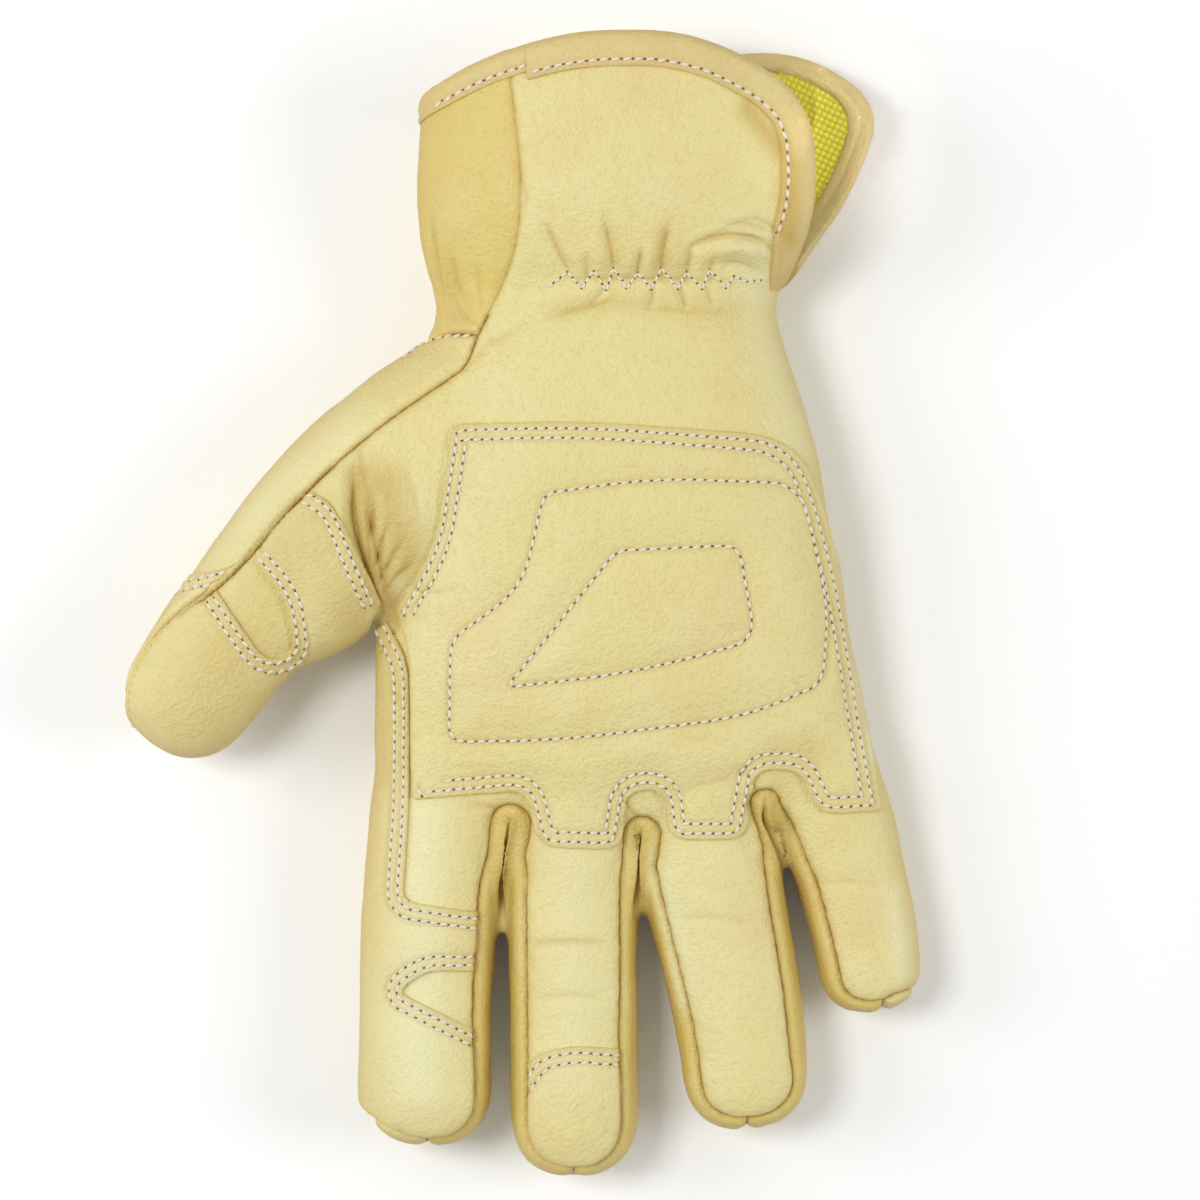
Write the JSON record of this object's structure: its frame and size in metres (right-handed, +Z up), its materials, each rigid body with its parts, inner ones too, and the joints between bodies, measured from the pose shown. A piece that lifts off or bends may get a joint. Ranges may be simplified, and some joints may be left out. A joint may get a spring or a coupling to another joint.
{
  "type": "leather utility glove",
  "caption": "Right-hand leather work glove with a split gauntlet cuff and reinforced palm, thumb and fingertips, lying on its back.",
  "frame": {"origin": "on the surface that the glove lies on, under the middle of the palm", "axes": "+X towards the little finger, +Y from the fingertips to the cuff, +Z up, out of the palm"},
  "size_m": [0.1869, 0.2645, 0.0471],
  "materials": {
    "glove_leather": "soft pebbled grain, pale straw, satin",
    "patch_leather": "soft pebbled grain, pale straw, satin",
    "binding_leather": "folded edge strip, pale straw, satin",
    "woven_lining": "coarse yellow weave, matt"
  },
  "bodies": {
    "root": {"palm_panel": "glove_leather", "back_panel": "glove_leather", "thumb_back_panel": "glove_leather", "cuff_side_panel": "glove_leather", "fourchette_index_middle": "glove_leather", "fourchette_middle_ring": "glove_leather", "fourchette_ring_little": "glove_leather", "palm_patch": "patch_leather", "index_patch": "patch_leather", "thumb_patch": "patch_leather", "middle_tip_patch": "patch_leather", "thumb_back_tip_patch": "patch_leather", "front_binding": "binding_leather", "back_binding": "binding_leather", "front_lining": "woven_lining", "back_lining": "woven_lining"}
  },
  "joints": []
}
